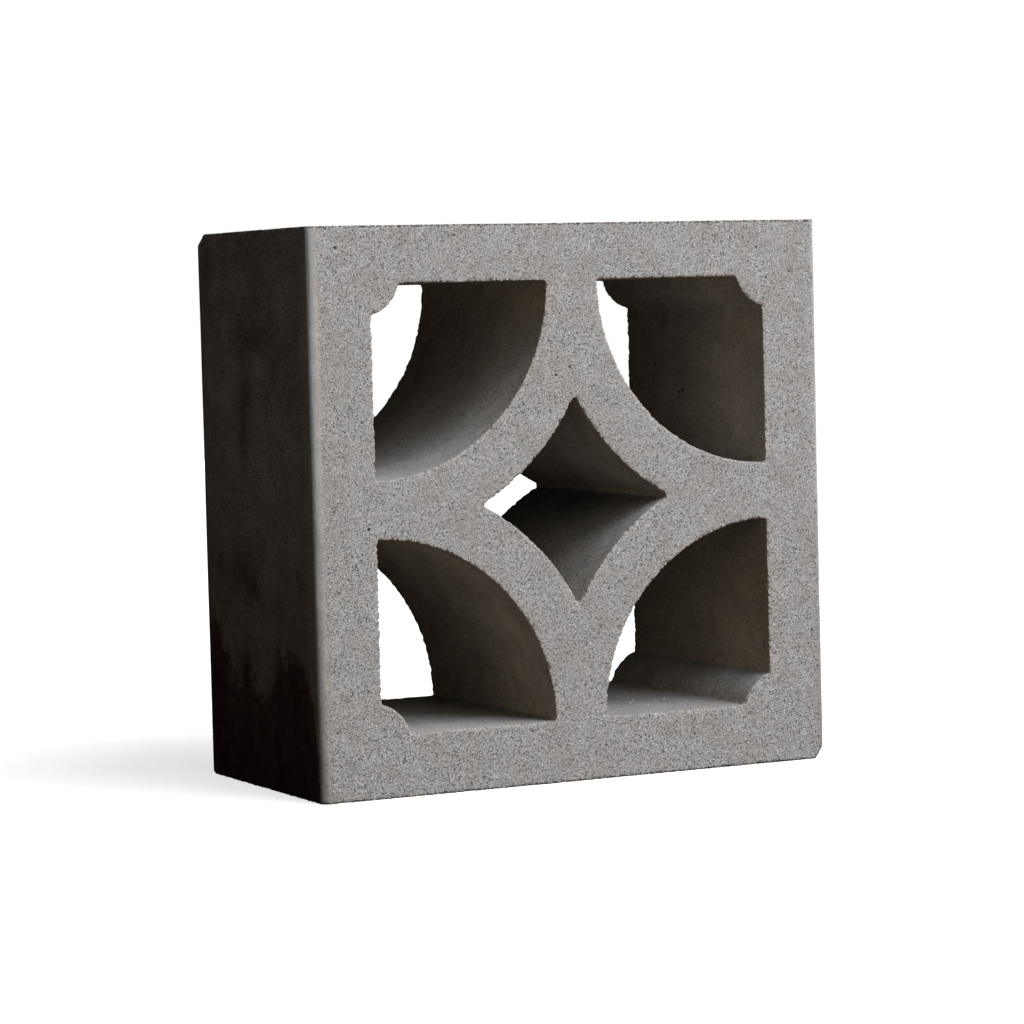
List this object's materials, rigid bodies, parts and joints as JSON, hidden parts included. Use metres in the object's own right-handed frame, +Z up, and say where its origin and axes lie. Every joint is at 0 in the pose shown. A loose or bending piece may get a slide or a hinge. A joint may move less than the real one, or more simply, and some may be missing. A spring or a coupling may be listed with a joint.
{
  "type": "decorative screen block",
  "caption": "Pierced concrete block for a screen wall, with quarter-round corner openings, curved ribs and a four-pointed star in the middle.",
  "frame": {"origin": "centre of the lower bed face, on which the block stands", "axes": "+X to the right as seen from the front, +Y from the front face to the back face, +Z up"},
  "size_m": [0.296, 0.15, 0.29],
  "materials": {
    "concrete": "matt cast concrete, open and sandy on the faces, smooth where the mould's cores left it"
  },
  "bodies": {
    "root": {"screen_block": "concrete"}
  },
  "joints": []
}
